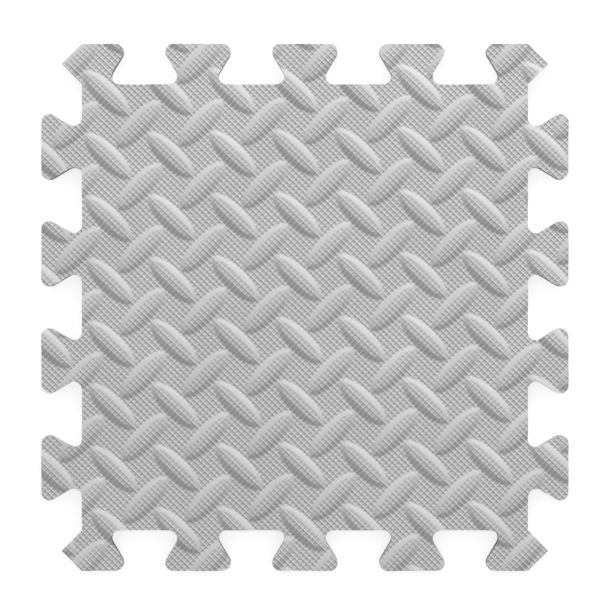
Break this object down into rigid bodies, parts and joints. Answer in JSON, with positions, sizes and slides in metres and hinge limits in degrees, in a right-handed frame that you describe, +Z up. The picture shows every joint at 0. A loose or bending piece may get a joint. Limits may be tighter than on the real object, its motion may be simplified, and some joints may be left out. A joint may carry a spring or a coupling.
{
  "type": "interlocking blocking mat",
  "caption": "Square foam mat for blocking knitting, with dovetail puzzle edges that lock to equal mats and a tread-plate pattern of raised ribs on top.",
  "frame": {"origin": "middle of the underside, on the surface that the mat lies on", "axes": "+Z up out of the ribbed top; X along the front and back edges, which have three whole and two corner tabs; Y along the left and right edges, which have four whole tabs"},
  "size_m": [0.3248, 0.3248, 0.01],
  "materials": {
    "grained_eva_skin": "matte",
    "cut_eva_foam": "matte",
    "embossed_eva_skin": "matte"
  },
  "bodies": {
    "root": {"base_skin": "grained_eva_skin", "foam_core": "cut_eva_foam", "tread_skin": "embossed_eva_skin"}
  },
  "joints": []
}
